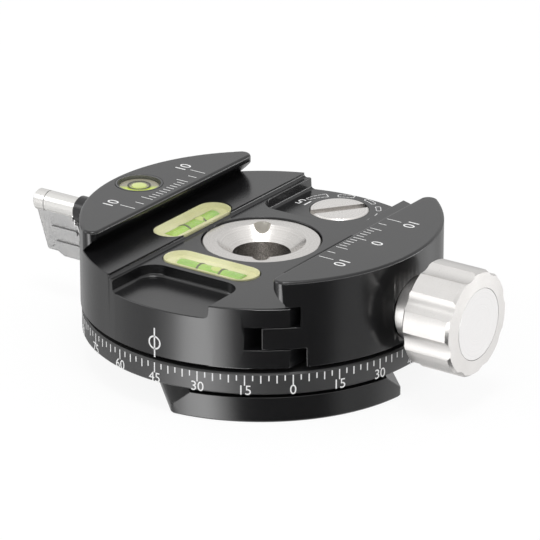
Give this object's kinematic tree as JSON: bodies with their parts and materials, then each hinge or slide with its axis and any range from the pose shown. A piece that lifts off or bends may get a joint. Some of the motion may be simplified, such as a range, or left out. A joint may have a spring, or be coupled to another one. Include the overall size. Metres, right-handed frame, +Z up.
{
  "type": "panning dovetail quick release clamp",
  "caption": "Round dovetail quick release clamp with a screw jaw, bubble levels and a panning base with a degree ring and a brake lever.",
  "frame": {"origin": "on the pan axis at the underside of the dovetail base", "axes": "+Z up along the pan axis; Y along the clamp channel; +X towards the knob, the way the jaw opens"},
  "size_m": [0.0893, 0.0604, 0.0247],
  "materials": {
    "black_anodised": "satin black anodised",
    "steel": "turned satin",
    "dark_steel": "satin",
    "spring_steel": "bright",
    "satin_aluminium": "satin clear anodised",
    "cast_silver": "bead blasted",
    "slip_plastic": "matt",
    "level_acrylic": "clear green tint",
    "level_liquid": "green liquid"
  },
  "bodies": {
    "base": {"dovetail_base": "black_anodised", "base_screws": "dark_steel", "degree_ring": "black_anodised", "pan_spindle": "steel", "centre_bushing": "steel", "hub_slip_washer": "slip_plastic", "pan_bearing": "slip_plastic"},
    "head": {"clamp_body": "black_anodised", "lock_boss": "black_anodised", "level_along_block": "level_acrylic", "level_along_tube": "level_liquid", "level_across_block": "level_acrylic", "level_across_tube": "level_liquid", "round_level_cup": "steel", "round_level_capsule": "level_acrylic", "jaw_springs": "spring_steel", "detent_spring": "spring_steel"},
    "jaw": {"sliding_jaw": "black_anodised", "jaw_guide_pins": "steel"},
    "knob": {"knob": "satin_aluminium", "knob_cap": "satin_aluminium", "knob_washer": "satin_aluminium", "clamp_screw": "steel"},
    "lever": {"lock_lever": "cast_silver", "lever_screw": "dark_steel", "lock_screw": "steel"},
    "brake": {"brake_pin": "slip_plastic"},
    "dial": {"click_dial": "steel"},
    "ball": {"detent_ball": "spring_steel"}
  },
  "joints": [
    {"name": "pan", "type": "hinge", "parent": "base", "child": "head", "pos_m": [0, 0, 0.0094], "axis": [0, 0, 1], "continuous": true},
    {"name": "jaw_slide", "type": "slide", "parent": "head", "child": "jaw", "axis": [1, 0, 0], "range_m": [-0.001, 0.0035], "deforming": ["jaw_springs"]},
    {"name": "knob_turn", "type": "hinge", "parent": "jaw", "child": "knob", "pos_m": [0.031, 0, 0.0149], "axis": [1, 0, 0], "range_deg": [-451, 1576]},
    {"name": "lock_lever_turn", "type": "hinge", "parent": "head", "child": "lever", "pos_m": [-0.038, 0, 0.017], "axis": [1, 0, 0], "range_deg": [-20, 70]},
    {"name": "brake_pin_slide", "type": "slide", "parent": "head", "child": "brake", "axis": [0, 0, 1], "range_m": [-0.000045, 0.000158]},
    {"name": "click_dial_turn", "type": "hinge", "parent": "head", "child": "dial", "pos_m": [0, 0.0231, 0.0166], "axis": [0, 0, 1], "range_deg": [0, 150]},
    {"name": "detent_ball_slide", "type": "slide", "parent": "head", "child": "ball", "axis": [0, 0, 1], "range_m": [0, 0.0004], "stiffness_N_per_m": 200, "springref_m": -0.001, "deforming": ["detent_spring"]}
  ],
  "couplings": [
    {"joint": "knob_turn", "follows": "jaw_slide", "rad_per_m": 7854},
    {"joint": "lock_lever_turn", "follows": "brake_pin_slide", "rad_per_m": 7692.3}
  ]
}
